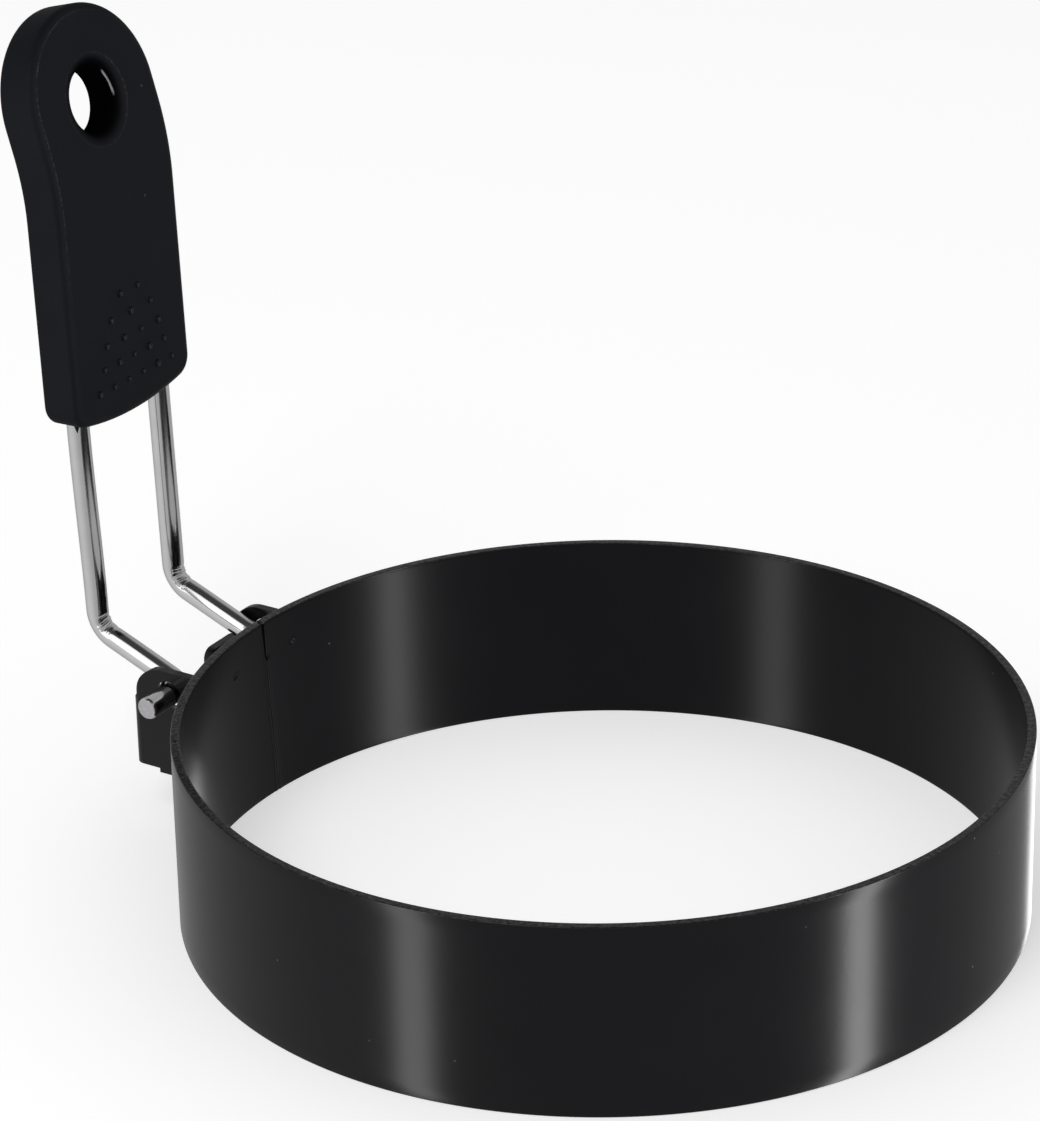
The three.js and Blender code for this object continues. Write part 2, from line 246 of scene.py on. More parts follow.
world = bpy.data.worlds.new("white_room")
world.use_nodes = True
world.cycles.sampling_method = "NONE"
scene.world = world
room = world.node_tree
room.nodes.clear()
straight, glossy = seen_rays(room)
seen_light = maths(room, "ADD", straight, maths(room, "MULTIPLY", glossy, mirrored_room(room)))
mix = node(room, "ShaderNodeMixShader", Fac=maths(room, "MAXIMUM", straight, glossy))
for socket, strength in zip(mix.inputs[1:], (ambient_light, seen_light)):
    light = node(room, "ShaderNodeBackground", Color=WHITE, Strength=strength)
    feed(room, socket, light.outputs[0])
node(room, "ShaderNodeOutputWorld", Surface=mix.outputs[0])
print("world of", len(room.nodes), "nodes")

# %% [markdown]
# The floor is one matte square that takes the object's shadow. More light would make it white, but
# would grey the black pieces too, so what the camera sees of it gets some light of its own
# instead. Reflections don't see it, and it stops no lamp, so a strip light may reach through it.

# %% Floor
floor_lift = 0.42
floor_grey = (0.8, 0.8, 0.8)
floor_reach = 3.0
floor_corners = ((-1, -1), (1, -1), (1, 1), (-1, 1))
floor_drop = 0.02 * MM  # under the band's foot, so that the two don't share a plane

pale_floor, tree, shader = new_finish("pale_floor", 1.0, 0.0)
own_light = maths(tree, "MULTIPLY", maths(tree, "MAXIMUM", *seen_rays(tree)), floor_lift)
set_inputs(tree, shader, Base_Color=floor_grey, Emission_Color=WHITE, Emission_Strength=own_light)
corners = [(x * floor_reach, y * floor_reach, 0) for x, y in floor_corners]
floor = make_object("floor", corners, [(0, 1, 2, 3)], [pale_floor])
floor.location.z = -floor_drop
floor.visible_glossy = False
floor.visible_shadow = False
floor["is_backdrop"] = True
print("floor", 2 * floor_reach, "m wide")

# %% [markdown]
# ## The lamps
#
# One large soft lamp gives the matte surfaces and the floor their light. The band's coat shows two
# narrow upright highlights, which come from two strip lights, and a third, low at the back, lights
# the band's right edge. A highlight could be painted, but then it wouldn't move with the view. A
# tall pale panel is the broad bright line along the lower part of the wire. Light linking keeps
# each lamp to its own pieces, because on the polished wire the strips would burn out.

# %% Lamps
black_pieces, matte_things, wire_only = (
    bpy.data.collections.new(name) for name in ("black_pieces", "matte_things", "wire_only")
)
matte_things.objects.link(floor)


def around(azimuth, distance, height):
    """A point seen from the ring's axis: degrees to the right of the camera's side, metres off."""
    turn = camera_azimuth + math.radians(azimuth)
    return Vector((ring_x + distance * math.sin(turn), -distance * math.cos(turn), height))


def lamp(name, place, aim_height, width, height, watts, lit_pieces):
    """A rectangular soft light that faces a point of the ring's axis."""
    data = bpy.data.lights.new(name, "AREA")
    data.shape = "RECTANGLE"
    data.size, data.size_y = width, height
    data.energy = watts
    obj = add_object(name, data)
    obj.location = place
    obj.rotation_mode = "QUATERNION"
    aim = Vector((ring_x, 0, aim_height)) - place
    obj.rotation_quaternion = aim.to_track_quat("-Z", "Y")
    obj.visible_camera = False
    obj.light_linking.receiver_collection = lit_pieces


half_up = 10 * MM  # about half of the band's height
# the name, the place, the height of the aim, width and height in metres, watts, and what is lit
lamp("soft_key", around(-32, 0.62, 0.78), half_up, 0.42, 0.42, 2.6, matte_things)
lamp("left_strip", around(-52.2, 1.2, 0.0), 0, 0.2, 2.0, 12.8, black_pieces)
lamp("right_strip", around(64.0, 0.296, 0.0), 0, 0.041, 0.7, 1.72, black_pieces)
lamp("back_strip", around(164, 1.0, -0.5), -0.5, 0.38, 0.9, 2.5, black_pieces)
lamp("wire_panel", around(-46, 0.88, 0.49), half_up, 0.36, 1.3, 1.6, wire_only)

# %% [markdown]
# ## Shared surface effects
#
# Some effects belong to more than one finish. They could be copied from material to material, but
# a node group with named inputs is built once and placed with other values in each. Fine grain is
# a soft noise that gives a bump and a mask. Specks are the tiny dots of dust and coat that a close
# look finds on any real surface. A group gives only masks and normals, and the shader stays in the
# material.

# %% Pattern helpers


def noise(tree, place, scale, detail, roughness):
    """Soft patches: how many to a metre, and how many finer layers they have and how strong."""
    sizes = {"Scale": scale, "Detail": detail, "Roughness": roughness}
    return node(tree, "ShaderNodeTexNoise", Vector=place, **sizes).outputs["Fac"]


def blend(tree, mask, low, high):
    """A colour that runs from one to the other with a mask."""
    made = node(tree, "ShaderNodeMix", data_type="RGBA", Factor=mask, A=low, B=high)
    return made.outputs["Result"]


def own_place(tree):
    return node(tree, "ShaderNodeTexCoord").outputs["Object"]


def stored(tree, name):
    """A value that the vertices keep."""
    return node(tree, "ShaderNodeAttribute", attribute_name=name).outputs["Fac"]


def new_tree(name, kind, inputs, outputs):
    """An empty tree. Inputs are (name, kind of socket, value) and outputs are (name, kind)."""
    tree = bpy.data.node_groups.new(name, kind)
    for title, socket_kind, value in inputs:
        socket = tree.interface.new_socket(
            title, in_out="INPUT", socket_type="NodeSocket" + socket_kind
        )
        if value is not None:
            socket.default_value = value
    for title, socket_kind in outputs:
        tree.interface.new_socket(title, in_out="OUTPUT", socket_type="NodeSocket" + socket_kind)
    given = tree.nodes.new("NodeGroupInput").outputs
    return tree, given, tree.nodes.new("NodeGroupOutput")


print("helpers", [f.__name__ for f in (noise, blend, own_place, stored, new_tree)])

# %% Fine grain


def fine_grain_group():
    """A soft noise as a mask, and the bump that it makes."""
    inputs = [
        ("Place", "Vector", None),
        ("Fineness", "Float", 2500.0),
        ("Height", "Float", 0.00001),
    ]
    outputs = [("Normal", "Vector"), ("Mask", "Float")]
    tree, given, result = new_tree("fine_grain", "ShaderNodeTree", inputs, outputs)
    mask = noise(tree, given["Place"], given["Fineness"], 3.0, 0.6)
    bump = node(tree, "ShaderNodeBump", Strength=1.0, Distance=given["Height"], Height=mask)
    set_inputs(tree, result, Normal=bump.outputs["Normal"], Mask=mask)
    return tree


fine_grain = fine_grain_group()
print("group", fine_grain.name)

# %% Specks


def specks_group():
    """1 in a few small dots: in a few cells of a Voronoi pattern, near the cell's own point."""
    inputs = [
        ("Place", "Vector", None),
        ("Spacing", "Float", 700.0),
        ("Dot", "Float", 0.1),
        ("Share", "Float", 0.1),
    ]
    tree, given, result = new_tree("specks", "ShaderNodeTree", inputs, [("Mask", "Float")])
    where = {"Vector": given["Place"], "Scale": given["Spacing"]}
    cells = node(tree, "ShaderNodeTexVoronoi", Randomness=1.0, **where).outputs
    near = maths(tree, "LESS_THAN", cells["Distance"], given["Dot"])
    lot = node(tree, "ShaderNodeSeparateColor", Color=cells["Color"]).outputs["Red"]
    chosen = maths(tree, "LESS_THAN", lot, given["Share"])
    set_inputs(tree, result, Mask=maths(tree, "MULTIPLY", near, chosen))
    return tree


specks = specks_group()
print("group", specks.name)

# %% [markdown]
# ## The coated steel
#
# The coat is a thin black non-stick layer: smooth, nearly black, with a very fine orange-peel and
# a few specks, and a little duller inside the band. The bracket has the same coat, glossier. It
# could be one even black, but a real coat is cloudy. On the sheet's cut edges it is thin and
# grainy, so there a mask kept with the vertices adds a patchy second gloss through the shader's
# coat layer.

# %% Coated steel
coat_tones = (0.0040, 0.0040, 0.0047), (0.0058, 0.0058, 0.0067)
thin_coat = (0.012, 0.012, 0.0125)
coat_speck = (0.07, 0.07, 0.075)
peel_height = 0.000001
patchiness = 0.02  # of the roughness, either way
thin_flecks = 0.5, 0.8  # of the noise, where the coat on a cut edge grows thin
gloss_flecks = 0.38, 0.66  # and where it shines
edge_gloss, edge_roughness = 0.62, 0.32


def coated_steel(name, roughness, specular):
    material, tree, shader = new_finish(name, roughness, specular)
    place, cut_edge = own_place(tree), stored(tree, "cut_edge")
    cloud = noise(tree, place, 90.0, 4.0, 0.55)
    flecks = noise(tree, place, 2200.0, 3.0, 0.7)
    group = {"node_tree": fine_grain, "Place": place, "Fineness": 1400.0, "Height": peel_height}
    peel = node(tree, "ShaderNodeGroup", **group)
    group = {"node_tree": specks, "Place": place, "Spacing": 420.0, "Dot": 0.045, "Share": 0.09}
    dots = node(tree, "ShaderNodeGroup", **group)
    thin_here = maths(tree, "MULTIPLY", cut_edge, ramp(tree, flecks, *thin_flecks))
    shine = ramp(tree, flecks, *gloss_flecks, end=edge_gloss)
    tone = blend(tree, cloud, *coat_tones)
    tone = blend(tree, thin_here, tone, thin_coat)
    tone = blend(tree, dots.outputs["Mask"], tone, coat_speck)
    set_inputs(
        tree,
        shader,
        Base_Color=tone,
        Roughness=ramp(tree, cloud, start=roughness - patchiness, end=roughness + patchiness),
        Coat_Weight=maths(tree, "MULTIPLY", cut_edge, shine),
        Coat_Roughness=edge_roughness,
        Normal=peel.outputs["Normal"],
    )
    return material


band_coat = coated_steel("band_coat", roughness=0.2, specular=0.13)
inner_coat = coated_steel("inner_coat", roughness=0.24, specular=0.075)
bracket_coat = coated_steel("bracket_coat", roughness=0.16, specular=0.2)
print("coats", [m.name for m in (band_coat, inner_coat, bracket_coat)])

# %% [markdown]
# ## The polished wire
#
# The wire is drawn through a die and polished, so its finest lines run along it. Noise in the
# object's own coordinates would cut across the bends. The wire's tree therefore keeps where each
# point lies round the wire and along it, and noise in those two, very slow along the wire, gives
# lines that follow each bend. The pins' ends are sheared: duller, with short marks.

# %% Polished wire
wire_tones = (0.62, 0.62, 0.63), (0.78, 0.775, 0.77)
line_slowness = 0.02  # how much slower the lines change along the wire than round it
line_depth = 0.000003


def polished_wire():
    material, tree, shader = new_finish("polished_wire", 0.14, 0.5, metallic=1.0)
    side = node(tree, "ShaderNodeAttribute", attribute_name="wire_side").outputs["Vector"]
    parts = node(tree, "ShaderNodeSeparateXYZ", Vector=side).outputs
    slow = maths(tree, "MULTIPLY", stored(tree, "wire_along"), line_slowness)
    followed = node(tree, "ShaderNodeCombineXYZ", X=parts["X"], Y=parts["Y"], Z=slow)
    lines = noise(tree, followed.outputs["Vector"], 5200.0, 4.0, 0.65)
    stains = noise(tree, own_place(tree), 260.0, 3.0, 0.6)
    bump = node(tree, "ShaderNodeBump", Strength=1.0, Distance=line_depth, Height=lines)
    set_inputs(
        tree,
        shader,
        Base_Color=blend(tree, stains, *wire_tones),
        Roughness=ramp(tree, lines, start=0.08, end=0.2),
        Normal=bump.outputs["Normal"],
    )
    return material


wire_finish = polished_wire()
print("finish", wire_finish.name)

# %% Sheared end
sheared_tones = (0.36, 0.35, 0.37), (0.74, 0.72, 0.75)
shear_depth = 0.00002


def sheared_end():
    """The cut end of the wire: duller, with the shear's fine marks."""
    material, tree, shader = new_finish("sheared_end", 0.38, 0.5, metallic=1.0)
    marks = noise(tree, own_place(tree), 2600.0, 4.0, 0.7)
    bump = node(tree, "ShaderNodeBump", Strength=1.0, Distance=shear_depth, Height=marks)
    tone = blend(tree, marks, *sheared_tones)
    set_inputs(tree, shader, Base_Color=tone, Normal=bump.outputs["Normal"])
    return material


end_finish = sheared_end()
print("finish", end_finish.name)

# %% [markdown]
# ## The silicone
#
# The grip is matte silicone with a moulded grain. It is nearly black with a touch of blue and dusty
# in specks. Its fine raised lines are rubbed paler, and painted paler still as a highlight where
# they catch the light. Towards the bore it is painted black as the hole's shade, and a pale
# crescent on the hole's front rim is a painted highlight. Each of these is one more colour over the
# last, where its own mask says. The nubs are polished by the thumb, so they have the same rubber
# with a smoother surface. The rounded lip's gloss is a coat layer that fades towards the bore, most
# above the hole, as painted shade.

# %% Soft silicone
rubber_tones = (0.0029, 0.0032, 0.0046), (0.0048, 0.0052, 0.0070)
# the raised lines' pale tone is partly wear and partly a painted highlight where they catch the
# light
worn_and_lit_tone = (0.042, 0.044, 0.049)
dust_tone = (0.03, 0.03, 0.033)
# painted shade: the lip is painted nearly black towards the bore, where the hole lies in shade
painted_bore_shade = (0.0008, 0.0008, 0.0010)
# a painted highlight: the pale crescent on the hole's front rim
painted_glint_tone = (0.24, 0.23, 0.235)
worn_and_lit_patches = 0.44, 0.76  # of the noise, where a raised line is rubbed and painted paler as a highlight
# the lip's coat layer fades towards the bore as painted shade
lip_coat, lip_roughness = 0.14, 0.6
moulded_grain = {"Fineness": 3800.0, "Height": 0.000012}


def grained(tree, place):
    return node(tree, "ShaderNodeGroup", node_tree=fine_grain, Place=place, **moulded_grain).outputs


def soft_silicone(name, specular, smoothest, roughest):
    material, tree, shader = new_finish(name, roughest, specular)
    place = own_place(tree)
    grain = grained(tree, place)
    group = {"node_tree": specks, "Place": place, "Spacing": 520.0, "Dot": 0.07, "Share": 0.05}
    dust = node(tree, "ShaderNodeGroup", **group)
    # rubbed spots on the raised lines, also painted paler as highlights
    worn_and_lit_spots = ramp(tree, noise(tree, place, 2600.0, 3.0, 0.7), *worn_and_lit_patches)
    worn_and_lit_line = maths(tree, "MULTIPLY", stored(tree, "worn_and_lit_edge"), worn_and_lit_spots)
    tone = blend(tree, noise(tree, place, 160.0, 5.0, 0.6), *rubber_tones)
    # over the rubber's tone: worn lines with a painted highlight, dust, painted shade at the bore,
    # a painted highlight crescent
    for mask, over in (
        (worn_and_lit_line, worn_and_lit_tone),
        (dust.outputs["Mask"], dust_tone),
        (stored(tree, "hole_shade_share"), painted_bore_shade),
        (stored(tree, "painted_glint"), painted_glint_tone),
    ):
        tone = blend(tree, mask, tone, over)
    rough = ramp(tree, grain["Mask"], start=smoothest, end=roughest)
    set_inputs(tree, shader, Base_Color=tone, Roughness=rough, Normal=grain["Normal"])
    return material


silicone = soft_silicone("soft_silicone", specular=0.064, smoothest=0.52, roughest=0.7)
nub_finish = soft_silicone("nub_silicone", specular=0.12, smoothest=0.24, roughest=0.46)
lip_finish = soft_silicone("lip_silicone", specular=0.0, smoothest=0.6, roughest=0.78)
# painted shade: the lip's gloss fades towards the bore, most above the hole
lip_tree = lip_finish.node_tree
lip_shaded_gloss = maths(lip_tree, "MULTIPLY", stored(lip_tree, "lip_shaded_gloss"), lip_coat)
lip_shader = lip_tree.nodes["Principled BSDF"]
set_inputs(lip_tree, lip_shader, Coat_Weight=lip_shaded_gloss, Coat_Roughness=lip_roughness)
print("silicone", [m.name for m in (silicone, nub_finish, lip_finish)])

# %% Bore silicone
# painted shade: the bore's wall is painted darker than the rest of the rubber
painted_bore_tones = (0.0006, 0.0006, 0.0008), (0.0012, 0.0012, 0.0015)


def bore_silicone():
    """The hole's wall, moulded against a blasted core pin: quite dull, painted nearly black as
    shade.
    """
    material, tree, shader = new_finish("bore_silicone", 0.85, 0.0)
    grain = grained(tree, own_place(tree))
    tone = blend(tree, grain["Mask"], *painted_bore_tones)
    set_inputs(tree, shader, Base_Color=tone, Normal=grain["Normal"])
    return material


bore_finish = bore_silicone()
print("finish", bore_finish.name)

# %% [markdown]
# ## The band
#
# A strip of steel is rolled into a ring and its ends are welded, so one upright seam is left, in
# the middle of the bracket. A cylinder could be made and dented, but its points would rarely be
# where the seam needs them. So the section, a tall thin rectangle with small rounds at its
# corners, is listed first and then turned about the axis in steps of our own choice.

# %% Band section
ring_inner = 88.9 / 2 * MM
ring_wall = 1.0 * MM
ring_outer = ring_inner + ring_wall
wall_middle = ring_inner + ring_wall / 2
ring_height = 21.3 * MM
edge_round = 0.12 * MM
weld_rows = 15.6 * MM, 18.4 * MM  # the inner wall has fine rows between these heights


def evenly(low, high, count):
    """Numbers from low to high in a count of equal steps, ends included."""
    return [low + (high - low) * i / count for i in range(count + 1)]


def steps_between(low, high, step):
    return evenly(low, high, max(1, round((high - low) / step)))


def arc(centre_x, centre_y, radius, start, end, count):
    """Points along an arc, ends included."""
    turns = evenly(start, end, count)
    return [(centre_x + radius * math.cos(a), centre_y + radius * math.sin(a)) for a in turns]


def band_section():
    """The closed section as (distance from the axis, height), up outside and down inside."""
    low, high = edge_round, ring_height - edge_round
    outside, inside = ring_outer - edge_round, ring_inner + edge_round
    corner = arc(0, 0, edge_round, 0, math.pi / 2, 4)
    flat = steps_between(inside, outside, 0.08 * MM)[1:-1]
    inner_rows = steps_between(low, weld_rows[0], 0.5 * MM)[:-1]
    inner_rows += steps_between(*weld_rows, 0.08 * MM)
    inner_rows += steps_between(weld_rows[1], high, 0.3 * MM)[1:]
    points = [(ring_outer, z) for z in steps_between(low, high, 1.5 * MM)[:-1]]
    points += [(outside + x, high + z) for x, z in corner]
    points += [(x, ring_height) for x in flat[::-1]]
    points += [(inside - x, high + z) for x, z in corner[::-1]]
    points += [(ring_inner, z) for z in inner_rows[-2:0:-1]]
    points += [(inside - x, low - z) for x, z in corner]
    points += [(x, 0.0) for x in flat]
    points += [(outside + x, low - z) for x, z in corner[:0:-1]]
    return points


section = band_section()
print("section of", len(section), "points")

# %% [markdown]
# The making of the ring leaves marks. The ends gape a little above the weld, a drop of weld stands
# on the inner wall, the bracket's two spot welds left their pits, and the rim has one chip. Each
# is a smooth push on the points near it. A bell says how much, so that no mark has a hard border.

# %% Marks of the making
weld_top = 16.8 * MM  # the seam is welded up to here and gapes above
weld_blend = 0.3 * MM
seam_top_turn = math.radians(-1.6)  # from the handle's middle plane
seam_slant = math.radians(0.1) / MM
gap_closed = 0.045 * MM
gap_open = 0.2 * MM
gap_softness = 0.022 * MM
gap_welded = 0.3  # of the gap's depth, where it is welded
gap_depth = 0.86  # how far the walls draw together in the gap, of their half thickness
gap_fall = 0.55 * MM  # how far the rim sinks in the gap
lip_rise, lip_off, lip_width = 0.03 * MM, 0.3 * MM, 0.14 * MM  # of the swelling beside the seam
drop_turn = math.radians(-2.25)
drop_height, drop_size = 0.26 * MM, 0.17 * MM
pit_depth, pit_size = 0.14 * MM, 0.13 * MM
pit_narrow, pit_slant = 0.7, 0.3  # a pit is a slanted oval
burr_share, burr_off, burr_width = 0.3, 2.6, 0.6  # of its depth and its size
pit_places = [(math.radians(5.8), 17.2 * MM), (math.radians(-7.8), 17.2 * MM)]
chip_turn = math.radians(37.2)
chip_depth, chip_size = 0.1 * MM, 0.12 * MM


def bell(distance, width):
    return math.exp(-0.5 * (distance / width) ** 2)


def ease(value, low, high):
    """0 below low, 1 above high, and a smooth rise between."""
    share = min(1.0, max(0.0, (value - low) / (high - low)))
    return share * share * (3 - 2 * share)


def seam_turn(z):
    return seam_top_turn - seam_slant * (ring_height - z)


def gap_at(off_seam, z):
    """How much of the gap there is at a distance from the seam."""
    rise = max(0.0, z - weld_top) / (ring_height - weld_top)
    half_gap = gap_closed + (gap_open - gap_closed) * rise
    above_weld = ease(z, weld_top - weld_blend, weld_top + weld_blend)
    parted = gap_welded + (1 - gap_welded) * above_weld
    return parted / (1 + math.exp(min(50.0, (off_seam - half_gap) / gap_softness)))


def weld_marks(turn, z):
    """How far the two pits and the drop push the inner wall outwards."""
    pushed = 0.0
    for at, height in pit_places:
        aside = (turn - at) * ring_inner
        away = math.hypot(aside * pit_narrow, z - height + pit_slant * aside)
        burr = burr_share * bell(away - burr_off * pit_size, burr_width * pit_size)
        pushed += pit_depth * (bell(away, pit_size) - burr)
    away = math.hypot((turn - drop_turn) * ring_inner, z - weld_top)
    return pushed - drop_height * bell(away, drop_size)


def marked_point(turn, radius, z):
    """Where the marks move a point of the section, as (distance from the axis, height)."""
    off_seam = abs(turn - seam_turn(z)) * ring_inner
    off_chip = math.hypot((turn - chip_turn) * ring_outer, radius - wall_middle)
    gap = gap_at(off_seam, z)
    rim = max(0.0, z - (ring_height - edge_round)) / edge_round
    moved = wall_middle + (radius - wall_middle) * (1 - gap_depth * gap)
    lowered = z - gap_fall * gap * rim - chip_depth * rim * bell(off_chip, chip_size)
    swelling = lip_rise * bell(off_seam - lip_off, lip_width) * (1 - rim)
    if radius < wall_middle:
        return moved - swelling + weld_marks(turn, z), lowered
    return moved + swelling, lowered


print("seam at", [round(math.degrees(seam_turn(z)), 2) for z in (0.0, ring_height)], "degrees")

# %% [markdown]
# The mesh has small steps where the marks are and plain ones elsewhere, so that it is fine where
# the eye needs it and light where it doesn't. Each point also keeps how near it is to the cut
# edge.

# %% Band mesh
handle_side = math.pi  # the handle stands towards -X
seam_columns = [0.035 * MM * i for i in range(12)] + [0.47 * MM, 0.58 * MM, 0.72 * MM]
fine_half = math.radians(10)
fine_step, plain_step, chip_step = math.radians(0.12), math.radians(1.0), math.radians(0.1)
chip_low, chip_high = chip_turn - math.radians(1.2), chip_turn + math.radians(3.2)
chip_reach = math.radians(6)
slant_full, slant_none = math.radians(4), math.radians(9.5)  # columns follow the seam's slant


def band_turns():
    """Turns from the seam: its own columns, small steps, plain ones, and small at the chip."""
    beside = [column / ring_inner for column in seam_columns]
    beside += steps_between(beside[-1], fine_half, fine_step)[1:]
    turns = [-turn for turn in beside[:0:-1]] + beside
    turns += steps_between(fine_half, chip_low, plain_step)[1:]
    turns += steps_between(chip_low, chip_high, chip_step)[1:]
    turns += steps_between(chip_high, 2 * math.pi - fine_half, plain_step)[1:-1]
    return turns


def band_points(turns):
    """The points column by column, and how near each is to the sheet's cut edge."""
    vertices, cut_edge = [], []
    half_height = ring_height / 2
    for column in turns:
        near = column if column < math.pi else column - 2 * math.pi
        follow = 1 - ease(abs(near), slant_full, slant_none)
        marked = abs(near) < fine_half or abs(near - chip_turn) < chip_reach
        for radius, z in section:
            turn = near + seam_turn(z) * follow
            far, height = marked_point(turn, radius, z) if marked else (radius, z)
            angle = handle_side + turn
            vertices.append((ring_x + far * math.cos(angle), far * math.sin(angle), height))
            cut_edge.append(ease(abs(z - half_height), half_height - edge_round, half_height))
    return vertices, cut_edge


def build_band():
    turns, rows = band_turns(), len(section)
    vertices, cut_edge = band_points(turns)
    faces = skin(len(turns), rows)
    obj = make_object("coated_band", vertices, faces, [band_coat, inner_coat])
    wall = [section[k][0] == section[(k + 1) % rows][0] == ring_inner for k in range(rows)]
    obj.data.polygons.foreach_set("material_index", [int(inner) for inner in wall] * len(turns))
    keep_values(obj, cut_edge=cut_edge)
    return obj


coated_band = build_band()
print("band", len(coated_band.data.polygons), "faces")

# %% [markdown]
# ## The bracket
#
# The bracket is one strip, folded to two ears and welded to the band. The CAD solid already has
# each bend and cut, and to model it again would only risk a difference. What it lacks is the
# softness of a coated edge. So a copy of its mesh is merged and its flat parts are joined, and
# then each sharp edge gets a small round, with the normals weighted so that the flats stay flat.

# %% Bracket
bracket_edge = 0.16 * MM
merge_distance = 0.002 * MM
flat_angle, sharp_angle = math.radians(1.0), math.radians(40)


def softened_copy(node_name, name, material, width):
    """A copy of a CAD node with its sharp edges rounded."""
    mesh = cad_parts[node_name].data.copy()
    mesh.name = name
    soft = bmesh.new()
    soft.from_mesh(mesh)
    bmesh.ops.remove_doubles(soft, verts=soft.verts, dist=merge_distance)
    bmesh.ops.dissolve_limit(soft, angle_limit=flat_angle, verts=soft.verts, edges=soft.edges)
    soft.to_mesh(mesh)
    soft.free()
    mesh.polygons.foreach_set("use_smooth", [True] * len(mesh.polygons))
    mesh.materials.clear()
    mesh.materials.append(material)
    obj = add_object(name, mesh)
    bevel = obj.modifiers.new("soft_edges", "BEVEL")
    bevel.width, bevel.segments = width, 3
    bevel.limit_method, bevel.angle_limit = "ANGLE", sharp_angle
    obj.modifiers.new("flat_faces", "WEIGHTED_NORMAL").keep_sharp = True
    return obj


def settle(obj):
    """Turns an object with modifiers into its plain result."""
    depsgraph = bpy.context.evaluated_depsgraph_get()
    result = bpy.data.meshes.new_from_object(
        obj.evaluated_get(depsgraph), preserve_all_data_layers=True, depsgraph=depsgraph
    )
    obj.modifiers.clear()
    obj.data = result
    return obj


bracket = settle(softened_copy("hinge_bracket", "coated_bracket", bracket_coat, bracket_edge))
print("bracket", len(bracket.data.polygons), "faces")

# %% [markdown]
# ## The handle's middle line
#
# Wire and grip follow one line. Seen from the side it is a straight leg, the knee, a straight stem
# and a gentle bend outwards. A curve object could draw it, but grip, nubs and knee marks need to
# ask for any point of it. So it is a function: a point of the handle is given by how far it is
# aside from the middle plane, how far along the line, and how far it is lifted off it towards the
# ring.

# %% Handle sizes
hinge_out = ring_outer + 4.05 * MM
hinge_up = 16.0 * MM
leg_run = 12.0 * MM
leg_rise = math.radians(22.1)
knee_bend = 3.4 * MM
stem_run = 47.5 * MM
stem_lean = math.radians(2.1)
back_bend = 34.0 * MM
back_sweep = math.radians(14.0)

knee_turn = math.pi / 2 - stem_lean - leg_rise
knee_setback = knee_bend * math.tan(knee_turn / 2)
knee_start = leg_run - knee_setback
knee_end = knee_start + knee_bend * knee_turn
curl_start = knee_end + stem_run - knee_setback
curl_end = curl_start + back_bend * back_sweep
corner_along = knee_end - knee_setback
print("the line bends back from", round(curl_start / MM, 2), "to", round(curl_end / MM, 2), "mm")

# %% Points of the line


def level_way(turn):
    """The direction of (out, up) at an angle above the level."""
    return Vector((math.cos(turn), math.sin(turn)))


def upright_way(lean):
    """The direction of (out, up) that leans outwards from the upright."""
    return Vector((math.sin(lean), math.cos(lean)))


def square(way):
    """A direction of (out, up) turned a quarter turn towards the ring."""
    return Vector((-way.y, way.x))


leg_way, stem_way = level_way(leg_rise), upright_way(stem_lean)
top_way = upright_way(stem_lean + back_sweep)
hinge_point = Vector((hinge_out, hinge_up))
knee_point = hinge_point + leg_way * knee_start
knee_centre = knee_point + square(leg_way) * knee_bend
stem_point = knee_centre - square(stem_way) * knee_bend
curl_point = stem_point + stem_way * (curl_start - knee_end)
curl_centre = curl_point - square(stem_way) * back_bend
top_point = curl_centre + square(top_way) * back_bend


def side_line(along):
    """The point and the direction of the middle line, in (out, up)."""
    if along < knee_start:
        return hinge_point + leg_way * along, leg_way
    if along < knee_end:
        way = level_way(leg_rise + (along - knee_start) / knee_bend)
        return knee_centre - square(way) * knee_bend, way
    if along < curl_start:
        return stem_point + stem_way * (along - knee_end), stem_way
    if along < curl_end:
        way = upright_way(stem_lean + (along - curl_start) / back_bend)
        return curl_centre + square(way) * back_bend, way
    return top_point + top_way * (along - curl_end), top_way


def on_handle(aside, along, lift=0.0):
    point, way = side_line(along)
    point = point + square(way) * lift
    return Vector((ring_x - point.x, aside, point.y))


print("knee at", [round(v / MM, 2) for v in on_handle(0, knee_start)])

# %% [markdown]
# ## The wire
#
# The wire is one length from pin to pin. A bevelled curve would give the section but no place
# along it for the polish. So a line of points with the bends' own small steps comes first, and a
# Geometry Nodes tree draws the round section along it and keeps where each point lies along and
# round it. In the photograph the near leg stands out a little where it enters the grip, and so it
# does here.

# %% Wire line
wire_radius = 1.25 * MM
pin_end = 13.9 * MM
pin_bend = 1.75 * MM
leg_aside = 7.1 * MM
leg_splay = 0.4 * MM
splay_reach = 14 * MM  # how deep in the grip the near leg is back in its place
grip_foot = corner_along + 23.6 * MM
grip_top = grip_foot + 45.4 * MM
hole_along = grip_top - 10.4 * MM
chamfer = 0.18 * MM
tip_share = 0.86  # the pin's tip, of the full thickness


def wire_half_line():
    """(aside, along, share of the full thickness) from the tip of a pin to the top of the loop."""
    points = [(pin_end, 0, tip_share), (pin_end - chamfer, 0, 1)]
    points += [(a, 0, 1) for a in evenly(pin_end - 2 * chamfer, leg_aside + pin_bend, 7)]
    bend = arc(leg_aside + pin_bend, pin_bend, pin_bend, 1.5 * math.pi, math.pi, 12)
    points += [(a, b, 1) for a, b in bend[1:]]
    for low, high, count in (
        (pin_bend, knee_start, 6),
        (knee_start, knee_end, 40),
        (knee_end, curl_start, 20),
        (curl_start, curl_end, 8),
        (curl_end, hole_along, 3),
    ):
        points += [(leg_aside, b, 1) for b in evenly(low, high, count)[1:]]
    loop = arc(0, hole_along, leg_aside, 0, math.pi / 2, 20)
    return points + [(a, b, 1) for a, b in loop[1:]]


